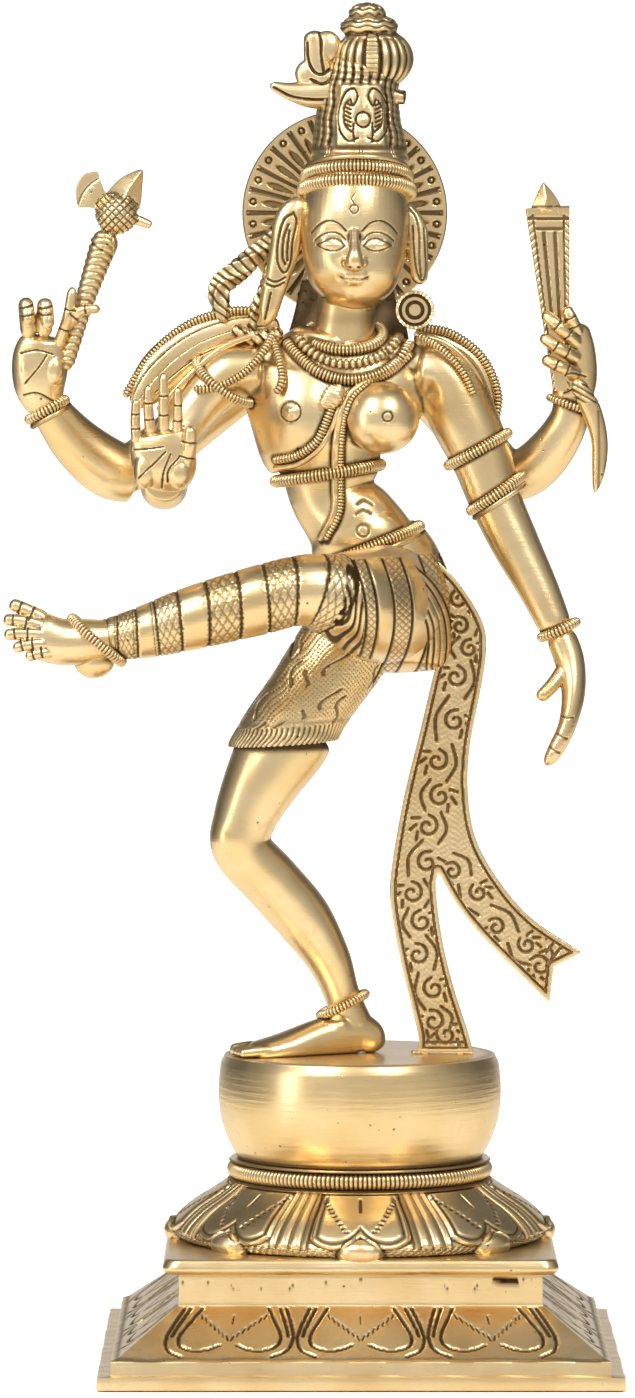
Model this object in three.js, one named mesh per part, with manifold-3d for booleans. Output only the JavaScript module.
// A four-armed dancing figure in cast brass on a stacked lotus pedestal.
// Each casting is a mesh of its own. Spigot pins join the castings of the figure, and one tie rod
// runs from the standing heel down through the pedestal to a nut in its hollow underside.
//
// Millimetres, +Z up. The figure faces -Y. The origin is on the resting plane, under the middle of
// the whole outline, and the pedestal stands to the right of it because the raised leg reaches left.
import * as THREE from "three";
import { mergeVertices } from "three/addons/utils/BufferGeometryUtils.js";
import Module from "manifold-3d";

const wasm = await Module();
wasm.setup();

// ---- driving dimensions ----

const pedestalX = 16; // the pedestal's axis, to the right of the middle of the outline
const gap = 0.3; // brazing gap between neighbouring castings

const footHalf = 85; // half the side of the square pedestal at the floor
const plinthStep = 4.4; // height, and inset, of each of the two steps at the floor
const slopeTopHalf = 60; // half the side where the petal slope ends
const slopeTop = 23.6; // height where the petal slope ends
const waistHalf = 59; // half the side of the plain waist
const waistTop = 34.4;
const castWall = 4; // wall of the hollow castings
const slabHalf = 64.5; // half the side of the square slab
const slabHeight = 5;
const slabCorner = 5; // radius of the slab's corners
const lotusRadius = 62; // at the tips of the petals
const lotusNeck = 42.5; // radius of the lotus at its top
const lotusHeight = 18.4;
const collarRadius = 44.2; // outside of the milled collar
const collarHeight = 7.5;
const drumRadius = 47;
const drumFoot = 41.6; // radius of the drum where it stands on the collar
const drumRim = 44; // radius of the drum's flat top
const drumHeight = 34.3;

const rodRadius = 2.5; // tie rod, an M5
const rodInHeel = 10; // length of the rod inside the standing heel
const washerRadius = 8;
const washerThick = 1.6;
const nutFlats = 8; // across the flats
const nutHeight = 4.6;
const rodBelowNut = 2;
const pinRadius = 1.8; // spigot pins between the castings
const tenonRadius = 1.6; // tenons under the sash
const tenonDepth = 3.6;

const angula = 3.3; // the sculptor's module: every place and girth of the figure is counted in it
const plateThick = 3.9; // thickness of the flat sash casting
const haloThick = 2.6;
const ropeRadius = 0.42; // rope ornaments, in modules

const meshTolerance = 0.1; // how far a casting's facets may be thinned

const brass = { colour: 0xc9a048, roughness: 0.32, metalness: 1 };
const steel = { colour: 0x8d8f91, roughness: 0.45, metalness: 1 };

// ---- making solids ----

// A closed geometry as a solid that can be joined and cut, grown along its normals when asked.
function solidOf(geometry, grow = 0) {
  const bare = geometry.clone();
  bare.deleteAttribute("normal");
  bare.deleteAttribute("uv");
  const merged = mergeVertices(bare, 1e-4);
  merged.computeVertexNormals();
  const { position, normal } = merged.attributes;
  const points = position.array.map((value, i) => value + grow * normal.array[i]);
  const mesh = new wasm.Mesh({
    numProp: 3,
    vertProperties: Float32Array.from(points),
    triVerts: Uint32Array.from(merged.index.array),
  });
  return new wasm.Manifold(mesh);
}

function geometryOf(solid) {
  const mesh = solid.getMesh();
  return new THREE.BufferGeometry()
    .setAttribute("position", new THREE.BufferAttribute(mesh.vertProperties, 3))
    .setIndex(new THREE.BufferAttribute(mesh.triVerts, 1));
}

const joined = (...solids) => solids.reduce((all, one) => all.add(one));

// A point of the figure, counted in modules from the middle of the drum's top.
const at = (x, y, z) => new THREE.Vector3(x, y, z).multiplyScalar(angula);

// A station of a limb: its middle, its half width across the view and its half depth.
const girth = (x, y, z, wide, deep) => ({ at: at(x, y, z), wide: wide * angula, deep: deep * angula });

// A rounded limb through its stations. It is a sphere whose rows of latitude are laid along a curve.
function limb(
  stations,
  grow = 0,
  { sides = 10, rows = Math.round(stations.length * 1.6) + 1, dome = 0.1 } = {},
) {
  const path = new THREE.CatmullRomCurve3(stations.map((s) => s.at));
  const girths = new THREE.CatmullRomCurve3(stations.map((s) => new THREE.Vector3(s.wide, s.deep, 0)));
  const shape = new THREE.SphereGeometry(1, sides, rows);
  const { position, uv } = shape.attributes;
  const frames = [];
  let deepWay = new THREE.Vector3(0, 1, 0);
  for (let row = 0; row <= rows; row++) {
    const share = (1 - Math.cos((Math.PI * row) / rows)) / 2;
    const along = path.getTangent(share);
    deepWay = deepWay.clone().addScaledVector(along, -deepWay.dot(along)).normalize();
    const wideWay = new THREE.Vector3().crossVectors(along, deepWay);
    const size = girths.getPoint(share);
    const end = Math.min(1, Math.min(share, 1 - share) / dome);
    const round = Math.sqrt(1 - (1 - end) ** 2);
    frames.push({
      middle: path.getPoint(share),
      wide: wideWay.multiplyScalar(size.x * round),
      deep: deepWay.clone().multiplyScalar(size.y * round),
    });
  }
  for (let i = 0; i < position.count; i++) {
    const frame = frames[Math.round((1 - uv.getY(i)) * rows)];
    const turn = 2 * Math.PI * uv.getX(i);
    const point = frame.middle
      .clone()
      .addScaledVector(frame.wide, Math.cos(turn))
      .addScaledVector(frame.deep, Math.sin(turn));
    position.setXYZ(i, point.x, point.y, point.z);
  }
  return solidOf(shape, grow);
}

// An ellipsoid: its middle and its three half sizes, in modules.
function ball([x, y, z], [rx, ry, rz], grow = 0, sides = 10) {
  const shape = new THREE.SphereGeometry(1, sides, Math.round(sides * 0.7));
  shape.rotateX(Math.PI / 2);
  shape.scale(rx * angula, ry * angula, rz * angula);
  const middle = at(x, y, z);
  shape.translate(middle.x, middle.y, middle.z);
  return solidOf(shape, grow);
}

// A thin rounded stick between points, such as a finger. Points and radius are in modules.
function finger(points, radius, grow = 0, sides = 6) {
  const stations = points.map(([x, y, z], i) => {
    const taper = 1 - 0.18 * (i / (points.length - 1));
    return girth(x, y, z, radius * taper, radius * taper);
  });
  return limb(stations, grow, { sides, rows: points.length * 2, dome: 0.16 });
}

// A ring of oval section round a limb, in modules: its middle, half width and half depth, and the
// half thickness and half height of its section. It can be tilted forward and leant sideways.
function ring([x, y, z], [wide, deep], [thick, tall = thick], { tilt = 0, lean = 0 } = {}, grow = 0) {
  const shape = new THREE.TorusGeometry(1, 0.5, 6, 16);
  const { position } = shape.attributes;
  for (let i = 0; i < position.count; i++) {
    const turn = Math.atan2(position.getY(i), position.getX(i));
    const out = (Math.hypot(position.getX(i), position.getY(i)) - 1) * 2 * thick;
    const up = position.getZ(i) * 2 * tall;
    position.setXYZ(i, Math.cos(turn) * (wide + out), Math.sin(turn) * (deep + out), up);
  }
  shape.rotateX(tilt);
  shape.rotateY(lean);
  shape.translate(x, y, z);
  shape.scale(angula, angula, angula);
  return solidOf(shape, grow);
}

// A round bar between two points in millimetres.
function bar(from, to, radius, sides = 16) {
  const way = new THREE.Vector3().subVectors(to, from);
  const shape = new THREE.CylinderGeometry(radius, radius, way.length(), sides);
  shape.applyQuaternion(new THREE.Quaternion().setFromUnitVectors(
    new THREE.Vector3(0, 1, 0), way.normalize(),
  ));
  const middle = new THREE.Vector3().addVectors(from, to).multiplyScalar(0.5);
  shape.translate(middle.x, middle.y, middle.z);
  return solidOf(shape);
}

// A flat plate whose outline is drawn in the X-Z plane in modules, and whose thickness is in
// millimetres. It grows by being swept round a small circle.
function plate(shape, thick, middleY, grow = 0) {
  const depth = thick + 2 * grow;
  const drawn = shape.getPoints(4);
  const apart = drawn.filter((p, i) => p.distanceTo(drawn[(i + 1) % drawn.length]) > 0.001);
  const made = new THREE.ExtrudeGeometry(new THREE.Shape(apart), {
    depth: depth / angula,
    bevelEnabled: false,
  });
  made.rotateX(Math.PI / 2);
  made.scale(angula, angula, angula);
  made.translate(0, middleY * angula + depth / 2, 0);
  const solid = solidOf(made);
  if (grow === 0) return solid;
  const turns = [0, 1, 2, 3, 4, 5, 6, 7].map((i) => (i * Math.PI) / 4);
  return joined(...turns.map((turn) => solid.translate([
    grow * Math.cos(turn), 0, grow * Math.sin(turn),
  ])));
}

// A turned solid from a profile of [radius, height] that starts and ends on the axis.
function turned(profile, segments = 30) {
  const shape = new THREE.LatheGeometry(
    profile.map(([r, z]) => new THREE.Vector2(r, z)),
    segments,
  );
  shape.rotateX(Math.PI / 2);
  return solidOf(shape);
}

// The same with a square plan, from [half side, height].
function squared(profile) {
  const corner = profile.map(([half, z]) => [half * Math.SQRT2, z]);
  const shape = new THREE.LatheGeometry(
    corner.map(([r, z]) => new THREE.Vector2(r, z)),
    4,
  );
  shape.rotateX(Math.PI / 2);
  shape.rotateZ(Math.PI / 4);
  return solidOf(shape);
}

const upright = (x, y, low, high, radius, sides = 20) =>
  bar(new THREE.Vector3(x, y, low), new THREE.Vector3(x, y, high), radius, sides);

// ---- the assembly ----

const statue = new THREE.Group();
const pedestal = new THREE.Group();
pedestal.position.x = pedestalX;
statue.add(pedestal);
const figure = new THREE.Group();
pedestal.add(figure);

function addMesh(group, name, solid, finish) {
  const material = new THREE.MeshStandardMaterial({
    color: finish.colour,
    roughness: finish.roughness,
    metalness: finish.metalness,
  });
  const mesh = new THREE.Mesh(geometryOf(solid), material);
  mesh.name = name;
  group.add(mesh);
}

// ---- pedestal, from the floor up ----

const slabBottom = waistTop + gap;
const slabTop = slabBottom + slabHeight;
const lotusBottom = slabTop + gap;
const lotusTop = lotusBottom + lotusHeight;
const collarBottom = lotusTop + gap;
const collarTop = collarBottom + collarHeight;
const drumBottom = collarTop + gap;
const drumTop = drumBottom + drumHeight;
figure.position.z = drumTop;

const rodHole = rodRadius + gap;
const footRoof = waistTop - castWall; // underside of the square pedestal's roof
const step = plinthStep;

const pedestalFoot = squared([
  [0, footRoof],
  [waistHalf - castWall, footRoof],
  [waistHalf - castWall, slopeTop - 1],
  [footHalf - 2 * step - castWall, 2 * step],
  [footHalf - 2 * step - castWall, 0],
  [footHalf, 0],
  [footHalf, step],
  [footHalf - step, step],
  [footHalf - step, 2 * step],
  [footHalf - 1.4 * step, 2 * step + 0.6],
  [slopeTopHalf, slopeTop],
  [waistHalf, slopeTop + 0.6],
  [waistHalf, waistTop],
  [0, waistTop],
]).subtract(upright(0, 0, footRoof - 1, waistTop + 1, rodHole));
addMesh(pedestal, "pedestal_foot", pedestalFoot, brass);

const slabPlan = new THREE.Shape();
const inner = slabHalf - slabCorner;
for (const [i, [sx, sy]] of [
  [1, 1],
  [-1, 1],
  [-1, -1],
  [1, -1],
].entries()) {
  slabPlan.absarc(sx * inner, sy * inner, slabCorner, (i * Math.PI) / 2, ((i + 1) * Math.PI) / 2);
}
const slabBevel = 0.9;
const slab = new THREE.ExtrudeGeometry(slabPlan, {
  depth: slabHeight - 2 * slabBevel,
  bevelThickness: slabBevel,
  bevelSize: slabBevel,
  bevelOffset: -slabBevel,
  bevelSegments: 1,
  curveSegments: 4,
});
slab.translate(0, 0, slabBottom + slabBevel);
addMesh(pedestal, "pedestal_slab", solidOf(slab).subtract(upright(0, 0, 0, drumTop, rodHole)), brass);

// The lotus: a swelling dish of turned-down petals, hollow underneath.
const lotusWall = 5;
const lotus = turned([
  [0, lotusTop - castWall],
  [lotusNeck - lotusWall - 4, lotusTop - castWall],
  [lotusRadius - lotusWall - 6, lotusBottom + 3],
  [lotusRadius - lotusWall - 6, lotusBottom],
  [lotusRadius - 2.5, lotusBottom],
  [lotusRadius, lotusBottom + 2.4],
  [lotusRadius - 2, lotusBottom + 5.6],
  [lotusRadius - 7.5, lotusBottom + 10.2],
  [lotusNeck + 4.4, lotusBottom + 15],
  [lotusNeck, lotusTop],
  [0, lotusTop],
]).subtract(upright(0, 0, lotusTop - castWall - 1, lotusTop + 1, rodHole));
addMesh(pedestal, "lotus_ring", lotus, brass);

// The collar: a half-round hoop between two fine fillets.
const collarFlat = 2.2;
const collarArc = new THREE.EllipseCurve(
  collarRadius - collarFlat,
  collarBottom + collarHeight / 2,
  collarFlat,
  collarHeight / 2 - 1,
  -Math.PI / 2,
  Math.PI / 2,
).getPoints(4);
const collar = turned([
  [0, collarBottom],
  [collarRadius - collarFlat, collarBottom],
  ...collarArc.map((p) => [p.x, p.y]),
  [collarRadius - collarFlat, collarTop],
  [0, collarTop],
]).subtract(upright(0, 0, collarBottom - 1, collarTop + 1, rodHole));
addMesh(pedestal, "milled_collar", collar, brass);

// The drum: bellied, flat on top, hollow underneath.
const drumSide = new THREE.CubicBezierCurve(
  new THREE.Vector2(drumFoot, drumBottom),
  new THREE.Vector2(drumRadius + 0.6, drumBottom + drumHeight * 0.32),
  new THREE.Vector2(drumRadius + 0.6, drumBottom + drumHeight * 0.62),
  new THREE.Vector2(drumRadius - 0.6, drumTop - 4),
).getPoints(6);
const sashTenons = [at(6.6, -0.9, 0), at(10.1, -0.9, 0)];
let drum = turned([
  [0, drumTop - castWall],
  [drumRim - castWall, drumTop - castWall],
  [drumFoot - castWall, drumBottom],
  ...drumSide.map((p) => [p.x, p.y]),
  [drumRim + 1.6, drumTop - 1],
  [drumRim, drumTop],
  [0, drumTop],
]).subtract(upright(0, 0, drumTop - castWall - 1, drumTop + 1, rodHole));
for (const tenon of sashTenons) {
  drum = drum.subtract(
    upright(tenon.x, tenon.y, drumTop - castWall - 1, drumTop + 1, tenonRadius + gap, 14),
  );
}
addMesh(pedestal, "drum", drum, brass);

// The tie rod with its washer and nut, in the hollow of the square pedestal.
const washerTop = footRoof - gap;
const nutTop = washerTop - washerThick - gap;
const rodBottom = nutTop - nutHeight - rodBelowNut;
addMesh(pedestal, "tie_rod", upright(0, 0, rodBottom, drumTop + rodInHeel, rodRadius), steel);
const washer = upright(0, 0, washerTop - washerThick, washerTop, washerRadius, 28);
addMesh(pedestal, "tie_washer", washer.subtract(upright(0, 0, 0, waistTop, rodHole)), steel);
const nut = upright(0, 0, nutTop - nutHeight, nutTop, nutFlats / Math.sqrt(3), 6);
addMesh(pedestal, "tie_nut", nut.subtract(upright(0, 0, 0, waistTop, rodHole)), steel);

// ---- figure ----

// Everything placed so far, grown by the brazing gap, so that the next piece is fitted round it.
const fitted = [upright(0, 0, -rodInHeel, rodInHeel + gap, rodHole)];

// Cuts a piece round what is placed already and keeps its main body.
function place(name, build, finish = brass) {
  const whole = build(0).simplify(meshTolerance);
  let solid = whole;
  for (const other of fitted) solid = solid.subtract(other);
  const bodies = solid.simplify(meshTolerance / 5).decompose();
  bodies.sort((a, b) => b.volume() - a.volume());
  addMesh(figure, name, bodies[0], finish);
  fitted.push(joined(build(gap), whole));
}

// Spigot pins across the joints between castings: their ends, in modules.
const pins = {
  waist_pin: [[0.6, 0, 46], [0.2, 0, 54]],
  neck_pin: [[-1.7, 0, 69], [-1.5, 0, 75.5]],
  crown_pin: [[-0.3, 0, 86], [0.2, 0.3, 92.5]],
  standing_leg_pin: [[-5.4, -2.2, 34.6], [-8.0, -3.0, 30.6]],
  raised_leg_pin: [[4.4, 0.6, 45], [3.4, -6.2, 45.3]],
  front_right_arm_pin: [[-8.2, 0.2, 67.4], [-13.4, 0.1, 67]],
  front_left_arm_pin: [[3.0, 0.2, 67.4], [8.6, 0.1, 67.2]],
  rear_right_arm_pin: [[-9.4, 2.4, 66.8], [-14.6, 3.8, 65.2]],
  rear_left_arm_pin: [[4.2, 2.4, 66.6], [9.4, 3.8, 64]],
  halo_pin: [[-0.7, 2.2, 84.2], [-0.9, 6.6, 84.2]],
};
for (const [name, [from, to]] of Object.entries(pins)) {
  place(name, (grow) => bar(at(...from), at(...to), pinRadius + grow, 12), steel);
}

// Pelvis with the short hide wrapped round the standing thigh, its hem cut off level.
const hemHeight = 31.4 * angula;
function hemCut(grow) {
  const below = new THREE.BoxGeometry(200, 200, 60);
  below.rotateY(-0.06);
  below.translate(0, 0, hemHeight - grow - 30);
  return solidOf(below);
}
place("hips", (grow) =>
  joined(
    limb(
      [
        girth(1.2, 0.1, 51.6, 5.6, 4.4),
        girth(2.2, 0.4, 48.4, 6.6, 5),
        girth(2.8, 0.6, 44.6, 6.9, 5.4),
        girth(3.6, 0.4, 41, 6, 5),
        girth(3.6, 0.1, 38.2, 4.6, 4.2),
      ],
      grow,
    ),
    limb(
      [
        girth(0.8, 0, 44, 4.9, 4.9), girth(-2.6, -1.2, 39.4, 5, 5),
        girth(-5.2, -2.2, 35.6, 4.8, 4.9), girth(-8.6, -3.1, 29.6, 4.6, 4.6),
      ],
      grow,
      { dome: 0.03 },
    ),
  ).subtract(hemCut(grow)),
);

// Torso, male on its right half and female on its left.
place("torso", (grow) =>
  joined(
    limb(
      [
        girth(1, 0, 50.4, 5.9, 4.5),
        girth(-0.3, -0.2, 53.4, 5.5, 4.3),
        girth(-2.2, 0, 55.8, 4.9, 3.8),
        girth(-3.2, 0, 58.6, 5.3, 4.2),
        girth(-3.3, 0.1, 61.4, 6.5, 4.8),
        girth(-2.8, 0.2, 64.8, 8.6, 5),
        girth(-2.4, 0.3, 67.9, 9.1, 4.3),
        girth(-2.1, 0.2, 70.6, 6.2, 3.4),
        girth(-1.7, 0, 72.6, 3.4, 3),
      ],
      grow,
      { sides: 12, dome: 0.05 },
    ),
    ball([2.5, -4.5, 63.4], [3.7, 3.4, 3.8], grow),
    ball([-7, -3.2, 64], [3.8, 1.9, 3], grow),
    ball([0.4, -2.7, 52.6], [3.7, 2.2, 2.9], grow),
  ),
);

place("standing_leg", (grow) => {
  const leg = limb(
    [
      girth(-6, -2.5, 33.7, 4.2, 3.9),
      girth(-7.7, -2.9, 31.2, 4.4, 4.1),
      girth(-9.8, -3.5, 27.6, 3.8, 3.8),
      girth(-11.5, -3.8, 23.8, 3.15, 3.4),
      girth(-11.9, -3.7, 20.7, 3, 3.3),
      girth(-9.2, -2.7, 17.4, 3, 3.1),
      girth(-6.1, -1.5, 13.8, 2.75, 2.8),
      girth(-3.4, -0.5, 9.6, 2.15, 2.3),
      girth(-1.9, 0, 5.6, 1.75, 1.9),
      girth(-0.5, 0.3, 1.6, 1.9, 1.9),
    ],
    grow,
    { dome: 0.04 },
  );
  const foot = limb(
    [
      girth(2, 0.9, 0.9, 1.1, 1.3),
      girth(-0.6, 0.1, 1.5, 1.9, 1.8),
      girth(-4, -1.5, 1.2, 1.6, 1.9),
      girth(-7.8, -3.1, 0.6, 1.1, 2.1),
      girth(-11.4, -4.5, 0.2, 0.8, 1.6),
    ],
    grow,
  );
  const floor = new THREE.BoxGeometry(200, 200, 40);
  floor.translate(0, 0, gap - grow - 20);
  return joined(leg, foot).subtract(solidOf(floor));
});

place("raised_leg", (grow) =>
  limb(
    [
      girth(4, -1.6, 45, 5.3, 5.2),
      girth(2.6, -5.6, 45.3, 5.9, 5.3),
      girth(0.6, -10.2, 45.7, 5.4, 5),
      girth(-2.4, -14.2, 46.5, 4.3, 4.4),
      girth(-5.8, -15.6, 46.9, 3.7, 3.8),
      girth(-10.9, -15.8, 46, 3.3, 3.5),
      girth(-16.8, -15.8, 44.7, 2.75, 3),
      girth(-21.2, -15.5, 43.3, 2.2, 2.4),
      girth(-24.6, -15.2, 42.5, 1.85, 2),
    ],
    grow,
    { dome: 0.08 },
  ),
);

// Raised foot, its toes fanned upwards.
const raisedToes = [
  [[-30.8, -16.4, 44.2], [-32.8, -16.8, 45.2], [-34.4, -17, 45.9], 0.75],
  [[-31, -17, 43.6], [-33.4, -17.6, 44.2], [-35, -17.8, 44.3], 0.68],
  [[-31, -17.5, 42.8], [-33.2, -18.2, 43], [-34.9, -18.4, 42.8], 0.66],
  [[-30.8, -17.7, 42], [-32.6, -18.4, 41.9], [-34, -18.6, 41.5], 0.62],
  [[-30.2, -17.4, 41.2], [-31.6, -18, 41], [-32.8, -18.2, 40.6], 0.6],
];
place("raised_foot", (grow) =>
  joined(
    limb(
      [
        girth(-24.2, -15.2, 42.4, 1.8, 1.9),
        girth(-26.8, -15.6, 42.1, 2.2, 2.1),
        girth(-29.6, -16.2, 42.1, 2.3, 2.1),
        girth(-32.2, -16.7, 43, 2.3, 1.6),
      ],
      grow,
    ),
    ball([-26.2, -14.8, 40.1], [2, 1.9, 1.7], grow, 10),
    ...raisedToes.map(([root, mid, tip, radius]) => finger([root, mid, tip], radius, grow)),
  ),
);

place("head", (grow) =>
  joined(
    limb(
      [girth(-1.7, 0.2, 71.6, 2.7, 2.6), girth(-1.4, -0.2, 74.4, 2.6, 2.6), girth(-1, -0.3, 78, 3, 3)],
      grow,
    ),
    limb(
      [
        girth(-0.8, -2.7, 75.9, 1.9, 1.9),
        girth(-0.7, -2, 77.8, 4, 3.9),
        girth(-0.6, -1.7, 80.9, 5, 4.9),
        girth(-0.5, -1.2, 84.4, 5.2, 5.2),
        girth(-0.3, -0.5, 87.6, 4.7, 4.8),
        girth(-0.2, 0, 89.6, 3.4, 3.6),
      ],
      grow,
      { sides: 12, dome: 0.08 },
    ),
    limb(
      [
        girth(4.2, -1.4, 85.2, 0.6, 0.7), girth(5.6, -1.6, 82.8, 1, 0.8),
        girth(5.8, -1.9, 79.8, 1, 0.8), girth(6, -2, 77, 0.75, 0.7),
      ],
      grow, { sides: 8 },
    ),
  ),
);

// Piled hair with its melon-shaped bun and cap.
place("hair_crown", (grow) =>
  limb(
    [
      girth(-0.2, 0.3, 87.4, 4.8, 4.9), girth(-0.1, 0.4, 90.2, 4.8, 4.8),
      girth(0, 0.5, 93.4, 4.5, 4.5), girth(0.4, 0.5, 96.6, 4, 4), girth(1, 0.5, 99.6, 3.5, 3.5),
    ],
    grow,
  ),
);
place("crown_bun", (grow) =>
  joined(
    ball([1.2, 0.4, 99.3], [3.85, 3.8, 3.1], grow, 12),
    ball([1, 0.4, 102.7], [2.7, 2.7, 1.2], grow),
    ball([0.9, 0.4, 103.9], [1.6, 1.6, 1.05], grow, 12),
  ),
);
place("crown_crescent", (grow) =>
  joined(
    limb(
      [
        girth(-2.6, -0.4, 95.4, 1.6, 1.5), girth(-5, -0.8, 95.2, 1.25, 1.1),
        girth(-7.2, -1, 96, 0.75, 0.7), girth(-9, -1.1, 96.8, 0.3, 0.3),
      ],
      grow, { sides: 8 },
    ),
    limb(
      [
        girth(-3.4, -0.6, 96.4, 1, 0.9), girth(-4.4, -0.7, 98.6, 1, 0.9),
        girth(-5, -0.7, 100.9, 0.75, 0.7),
      ],
      grow, { sides: 8 },
    ),
  ),
);
place("diadem", (grow) => ring([-0.3, -0.3, 87.3], [5, 5.15], [0.8, 1.75], { tilt: -0.2 }, grow));

// Disc behind the head, with its rays facing forward.
const haloCentre = at(-1.5, 5.6, 84.2);
place("halo", (grow) =>
  bar(
    new THREE.Vector3(haloCentre.x, haloCentre.y - haloThick / 2 - grow, haloCentre.z),
    new THREE.Vector3(haloCentre.x, haloCentre.y + haloThick / 2 + grow, haloCentre.z),
    10.3 * angula + grow,
    40,
  ),
);

place("ear_drop_right", (grow) =>
  limb(
    [
      girth(-5.4, -1.6, 85.6, 0.7, 0.7), girth(-7, -2, 83.6, 1.2, 0.9),
      girth(-7.5, -2.3, 80.6, 1.3, 1), girth(-8.5, -2.3, 77.2, 1.2, 1),
      girth(-9.5, -2, 72.9, 0.9, 0.8),
    ],
    grow,
    { sides: 8 },
  ),
);
place("earring_disc_left", (grow) =>
  bar(
    at(6.3, -3.1, 74.5).add(new THREE.Vector3(0, -grow, 0)),
    at(6.3, -1.3, 74.5).add(new THREE.Vector3(0, grow, 0)), 1.95 * angula + grow, 24,
  ),
);

// ---- arms ----

place("front_right_arm", (grow) =>
  joined(
    limb(
      [
        girth(-9.6, 0.2, 68.2, 3, 3.2), girth(-13, 0, 67.2, 3.4, 3.4),
        girth(-15.8, -0.9, 63.2, 3.05, 3.1), girth(-18, -2.2, 60, 2.75, 2.8),
        girth(-19.4, -3.4, 57.8, 2.3, 2.5),
      ],
      grow,
    ),
    limb(
      [
        girth(-19.3, -2.4, 57.9, 2.2, 2.3), girth(-19.5, -5.8, 57, 2.35, 2.3),
        girth(-19.5, -9, 57.4, 2, 1.7),
      ],
      grow,
    ),
  ),
);
const abhayaFingers = [
  [[-22.1, -10.9, 61.4], [-22.2, -11.2, 63.8], [-22.1, -11.5, 65.8], 0.5],
  [[-20.7, -11, 62.2], [-20.9, -11.4, 64.8], [-20.9, -11.7, 67.2], 0.52],
  [[-19.4, -11, 62.4], [-19.4, -11.5, 65.4], [-19.4, -11.8, 68.4], 0.54],
  [[-18.1, -10.9, 62.2], [-18, -11.5, 64.6], [-18, -11.9, 67], 0.5],
  [[-17.4, -10.6, 58.6], [-16.9, -11.6, 61], [-16.7, -12.1, 63.2], 0.78],
];
place("abhaya_hand", (grow) =>
  joined(
    limb(
      [
        girth(-19.3, -9.2, 56.3, 2.2, 1.5), girth(-19.3, -10.2, 58.6, 3.2, 1.7),
        girth(-19.6, -10.8, 61, 3.2, 1.3), girth(-19.9, -11, 62.6, 2.8, 0.8),
      ],
      grow,
    ),
    ...abhayaFingers.map(([root, mid, tip, radius]) => finger([root, mid, tip], radius, grow)),
  ),
);

place("front_left_arm", (grow) =>
  limb(
    [
      girth(5.4, 0.2, 68.4, 2.8, 3.1),
      girth(8.5, 0, 67.6, 3.4, 3.4),
      girth(10.3, -0.5, 63.8, 3.4, 3.3),
      girth(12.1, -0.9, 59.8, 3.05, 3),
      girth(13.9, -1.3, 55.6, 2.65, 2.7),
      girth(15.9, -2.1, 51, 2.45, 2.4),
      girth(18.1, -3, 46.5, 2.05, 2),
      girth(20, -3.9, 42.3, 1.45, 1.5),
    ],
    grow,
    { dome: 0.05 },
  ),
);
place("hanging_hand", (grow) =>
  joined(
    limb(
      [
        girth(19.6, -3.9, 42.4, 1.3, 1.3), girth(20.7, -4.6, 39.6, 1.35, 1.5),
        girth(21.3, -5.4, 36.4, 1.1, 1.7), girth(20.9, -6.3, 33.4, 0.8, 1.5),
        girth(19.9, -7.1, 30.9, 0.75, 1.2), girth(18.9, -7.6, 29.4, 0.5, 0.7),
      ],
      grow,
      { sides: 12 },
    ),
    finger([[20.6, -5, 39], [19.4, -6, 37.4], [18.2, -6.7, 36.2]], 0.72, grow),
  ),
);

place("rear_right_arm", (grow) =>
  joined(
    limb(
      [
        girth(-11, 3.4, 67.6, 2.6, 2.2), girth(-16.2, 4.1, 63.6, 2.7, 2.5),
        girth(-20.4, 4.4, 59.6, 2.7, 2.6), girth(-23.8, 4.3, 57.2, 2.4, 2.4),
      ],
      grow,
    ),
    limb(
      [
        girth(-22.6, 4.3, 57, 2.2, 2.4), girth(-25.6, 3.6, 57.9, 2.5, 2.4),
        girth(-28.8, 2.5, 60.4, 2.3, 2.2), girth(-31.5, 1.1, 63.9, 1.7, 1.7),
      ],
      grow,
    ),
  ),
);
const rearRightFingers = [
  [[-33.2, -0.9, 71.6], [-34, -1.9, 73.4], [-33.5, -2.6, 71.2], 0.68],
  [[-31.6, -1, 71.8], [-31.6, -2.2, 73.1], [-31.1, -2.8, 70.6], 0.7],
  [[-30.2, -0.8, 70.6], [-29.1, -1.9, 73.8], [-28.6, -2.1, 76.8], 0.62],
  [[-29.4, -1.2, 72.6], [-27.8, -2.1, 74.4], [-25.9, -1.9, 74.6], 0.56],
];
place("rear_right_hand", (grow) =>
  joined(
    limb(
      [
        girth(-31.4, 1.1, 64.2, 1.6, 1.6), girth(-32, 0.3, 67, 2.6, 1.9),
        girth(-31.9, -0.3, 69.8, 2.8, 1.7), girth(-31.6, -0.7, 72, 2.1, 1.1),
      ],
      grow,
    ),
    ...rearRightFingers.map(([root, mid, tip, radius]) => finger([root, mid, tip], radius, grow)),
  ),
);

const axeBlade = new THREE.Shape();
axeBlade.moveTo(-24.6, 84.9);
axeBlade.quadraticCurveTo(-25.6, 86.2, -26.2, 88.2);
axeBlade.quadraticCurveTo(-28.8, 87.6, -28.5, 84.5);
axeBlade.quadraticCurveTo(-26.6, 84.6, -24.6, 83.6);
axeBlade.closePath();
place("battle_axe", (grow) =>
  joined(
    limb(
      [
        girth(-29.4, -0.5, 68.4, 0.72, 0.7), girth(-27.5, -0.5, 75, 0.8, 0.8),
        girth(-25, -0.5, 82.4, 1.25, 1.1),
      ],
      grow, { sides: 8 },
    ),
    ball([-24.3, -0.5, 84.1], [2.15, 2.1, 2.15], grow, 12),
    plate(axeBlade, 1.8, -0.5, grow),
    limb(
      [
        girth(-23.6, -0.5, 85.2, 1.5, 1.3), girth(-22.7, -0.5, 86.8, 1.1, 0.9),
        girth(-21.7, -0.5, 88.3, 0.2, 0.2),
      ],
      grow, { sides: 8 },
    ),
    finger([[-23, -0.5, 83.8], [-21.6, -0.5, 83.2], [-20.8, -0.5, 82.9]], 0.6, grow),
  ),
);

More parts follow.
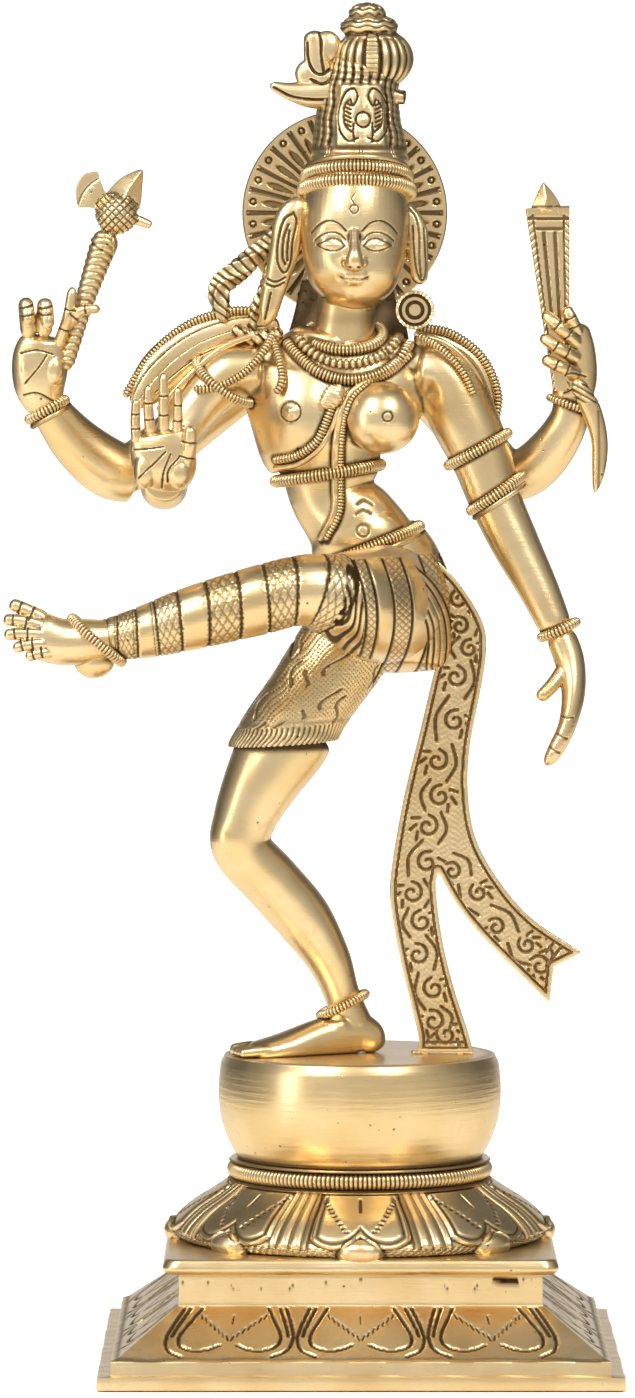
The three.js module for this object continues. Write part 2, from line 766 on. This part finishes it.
place("rear_left_arm", (grow) =>
  joined(
    limb(
      [
        girth(6.2, 3.4, 67.2, 2.6, 2.2), girth(10.6, 4.1, 62.4, 2.6, 2.5),
        girth(14.4, 4.3, 58.2, 2.4, 2.4),
      ],
      grow,
    ),
    limb(
      [
        girth(13.2, 4.3, 57.6, 2, 2.4), girth(16.2, 4, 57.9, 2.5, 2.5),
        girth(18.9, 3.1, 60.4, 2.45, 2.3), girth(20.9, 1.9, 64.2, 1.95, 1.8),
      ],
      grow,
    ),
  ),
);
const rearLeftFingers = [
  [[21.6, 0.2, 68.4], [20, -1.4, 69.2], [18.6, -1, 69.9], 0.62],
  [[21.5, 0.1, 70], [20.2, -1.5, 70.6], [18.8, -1.1, 71.2], 0.6],
  [[21.6, 0.3, 71], [20.9, -1.4, 72.6], [20, -1.3, 73.6], 0.62],
];
place("rear_left_hand", (grow) =>
  joined(
    limb(
      [
        girth(20.8, 1.9, 64.4, 1.7, 1.6), girth(21.2, 1.4, 67.2, 2.1, 1.6),
        girth(21.3, 0.9, 70.2, 1.9, 1.4), girth(21, 0.4, 72.8, 1.2, 1.1),
      ],
      grow,
    ),
    ...rearLeftFingers.map(([root, mid, tip, radius]) => finger([root, mid, tip], radius, grow)),
  ),
);
const bladePlan = new THREE.Shape([
  new THREE.Vector2(19.3, 66.4),
  new THREE.Vector2(20.9, 66.4),
  new THREE.Vector2(20.9, 84.9),
  new THREE.Vector2(16.5, 84.6),
]);
place("flame_blade", (grow) =>
  joined(
    plate(bladePlan, 3, -0.1, grow),
    limb(
      [
        girth(18.5, -0.1, 84, 1.5, 0.8), girth(18.4, -0.1, 85.6, 1.05, 0.7),
        girth(18.3, -0.1, 87, 0.2, 0.2),
      ],
      grow, { sides: 8 },
    ),
  ),
);
place("blade_tassel", (grow) =>
  limb(
    [
      girth(21.4, -0.6, 67.6, 0.8, 0.6), girth(22.9, -0.3, 65, 1, 0.75),
      girth(23.9, 0, 61.8, 0.85, 0.7), girth(23.9, 0, 58.8, 0.7, 0.6),
      girth(23.5, 0, 56.2, 0.25, 0.25),
    ],
    grow, { sides: 8 },
  ),
);

// ---- sash with its two tails, standing on the drum ----

const sashPlan = new THREE.Shape();
sashPlan.moveTo(6.6, 50.2);
sashPlan.splineThru(
  [
    [9.6, 47], [12.1, 43.4], [12.7, 40.6], [12.3, 36.8], [11, 31], [10.5, 26.4], [10.8, 22.4],
    [12, 19], [14.2, 16.1], [17.2, 13.7], [21.7, 10.8],
  ].map(
    ([x, z]) => new THREE.Vector2(x, z),
  ),
);
sashPlan.lineTo(18.9, 9.9);
sashPlan.lineTo(18.5, 6.4);
sashPlan.splineThru([
  [14.2, 10.4], [11.4, 13.9], [9.4, 17], [8, 18.7],
].map(([x, z]) => new THREE.Vector2(x, z)));
sashPlan.splineThru([
  [8.5, 16], [9.3, 12.4], [10.2, 8], [11.5, gap / angula],
].map(([x, z]) => new THREE.Vector2(x, z)));
sashPlan.lineTo(5.2, gap / angula);
sashPlan.splineThru(
  [
    [5.9, 2.6], [5.3, 6], [4.2, 10.8], [3.8, 15], [4, 18.4], [4.6, 22.4], [5.4, 28.5], [6.5, 33],
    [8.3, 37.8], [8.5, 41], [7.6, 44.6], [5.2, 48.6],
  ].map(
    ([x, z]) => new THREE.Vector2(x, z),
  ),
);
sashPlan.closePath();
place("sash", (grow) =>
  joined(
    plate(sashPlan, plateThick, -0.9, grow),
    ...sashTenons.map((tenon) => upright(
      tenon.x, tenon.y, -tenonDepth - grow, angula, tenonRadius + grow, 12,
    )),
  ),
);

// ---- garlands, locks and rope ornaments ----

place("shoulder_lock_right", (grow) =>
  limb(
    [
      girth(-8, 0.6, 72.6, 1.3, 0.9), girth(-12, 0.9, 72, 1.7, 1.1),
      girth(-16.4, 0.9, 70.6, 2.1, 1.1), girth(-20, 0.5, 67.8, 2.2, 1),
      girth(-22.6, 0, 64.8, 1.1, 0.8),
    ],
    grow, { sides: 8 },
  ),
);
place("shoulder_lock_left", (grow) =>
  limb(
    [
      girth(5.4, 0.8, 72, 1, 0.8), girth(8.8, 1.2, 71.5, 1.3, 1), girth(11.8, 1.3, 69.4, 1.6, 1.1),
      girth(13.2, 1.2, 66, 1.5, 1), girth(13.2, 1, 62.8, 0.8, 0.7),
    ],
    grow, { sides: 8 },
  ),
);
place("side_lock_right", (grow) =>
  joined(
    limb(
      [
        girth(-6.2, 0.6, 85, 0.7, 0.6), girth(-8.1, 0.8, 80.6, 0.9, 0.7),
        girth(-10, 0.6, 77, 0.9, 0.8), girth(-13, 0.2, 74.6, 0.9, 0.8),
        girth(-12.6, -0.2, 72.8, 0.7, 0.7),
      ],
      grow, { sides: 8 },
    ),
    limb(
      [
        girth(-12.8, -0.2, 72.6, 0.9, 0.8), girth(-10.4, -0.9, 71.8, 1, 0.9),
        girth(-7.6, -1.4, 72.2, 0.8, 0.7),
      ],
      grow, { sides: 8 },
    ),
  ),
);

place(
  "armlet_front_left_upper",
  (grow) => ring([11.9, -0.9, 60.6], [3.35, 3.1], [ropeRadius], { lean: -0.5 }, grow),
);
place(
  "armlet_front_left_lower",
  (grow) => ring([13.8, -1.3, 56.4], [2.95, 2.8], [ropeRadius * 1.1], { lean: -0.6 }, grow),
);
place(
  "shoulder_loop_right",
  (grow) => ring([-13.4, -0.3, 67.4], [3.5, 3.8], [0.5], { lean: 0.62, tilt: 0.25 }, grow),
);
place(
  "bracelet_front_left",
  (grow) => ring([19.9, -3.9, 42.9], [1.75, 1.75], [ropeRadius], { lean: -0.42 }, grow),
);
place(
  "bracelet_rear_right",
  (grow) => ring([-31.5, 1.1, 64.3], [1.95, 1.95], [ropeRadius * 1.2], { lean: -0.5 }, grow),
);
place(
  "bracelet_rear_left",
  (grow) => ring([21, 1.8, 65], [2.05, 1.95], [ropeRadius], { lean: 0.35 }, grow),
);
place(
  "anklet_standing",
  (grow) => ring([-1.7, -0.3, 4.9], [2.5, 2.6], [ropeRadius * 1.1], { lean: -0.45 }, grow),
);
place(
  "anklet_raised",
  (grow) => ring([-25.9, -15.4, 42.2], [3.2, 2.7], [ropeRadius * 1.3], { lean: 0.72 }, grow),
);
place("girdle", (grow) => ring([1.3, 0.1, 50.6], [6.2, 4.95], [0.6], { lean: -0.3 }, grow));

// A rope laid on the front of the torso along a path of [x, z] points in modules.
const torsoFront = figure.getObjectByName("torso");
const breastplate = new THREE.Mesh(
  torsoFront.geometry,
  new THREE.MeshStandardMaterial({ side: THREE.DoubleSide }),
);
function laidOnTorso(points, radius, grow) {
  const path = new THREE.CatmullRomCurve3(points.map(([x, z]) => at(x, 0, z)));
  const caster = new THREE.Raycaster();
  const laid = path.getSpacedPoints(points.length * 3).map((p) => {
    caster.set(new THREE.Vector3(p.x, -20 * angula, p.z), new THREE.Vector3(0, 1, 0));
    const hit = caster.intersectObject(breastplate)[0];
    return new THREE.Vector3(p.x, (hit ? hit.point.y : 0) - radius * angula * 0.55, p.z);
  });
  return limb(
    laid.map((p) => ({ at: p, wide: radius * angula, deep: radius * angula })),
    grow,
    { sides: 7, rows: laid.length, dome: 0.02 },
  );
}
place("necklace_inner", (grow) => ring([-1.6, -0.7, 72.3], [3.6, 3.6], [0.5], { tilt: 0.42 }, grow));
place("necklace_outer", (grow) =>
  laidOnTorso(
    [[-7.4, 71.4], [-6.2, 70], [-4.2, 68.4], [-1.6, 67.6], [1.2, 67.9], [3.6, 69.2], [5, 71.2]],
    0.75, grow,
  ),
);
place("sacred_thread", (grow) =>
  laidOnTorso(
    [
      [4.6, 70.2], [2.6, 68.4], [0, 67], [-1.6, 65.2], [-2.4, 61.6], [-2.5, 57.6], [-2.6, 54.4],
      [-4, 51.6],
    ],
    0.6, grow,
  ),
);
place("chest_band_upper", (grow) =>
  laidOnTorso([[-2.4, 66], [-3.4, 63.4], [-4.4, 61.4], [-6.4, 60], [-8.6, 59.5]], 0.5, grow),
);
place("chest_band_lower", (grow) => ring([-3.1, 0, 57.9], [5.35, 4.35], [0.45], { lean: -0.16 }, grow));

export default statue;
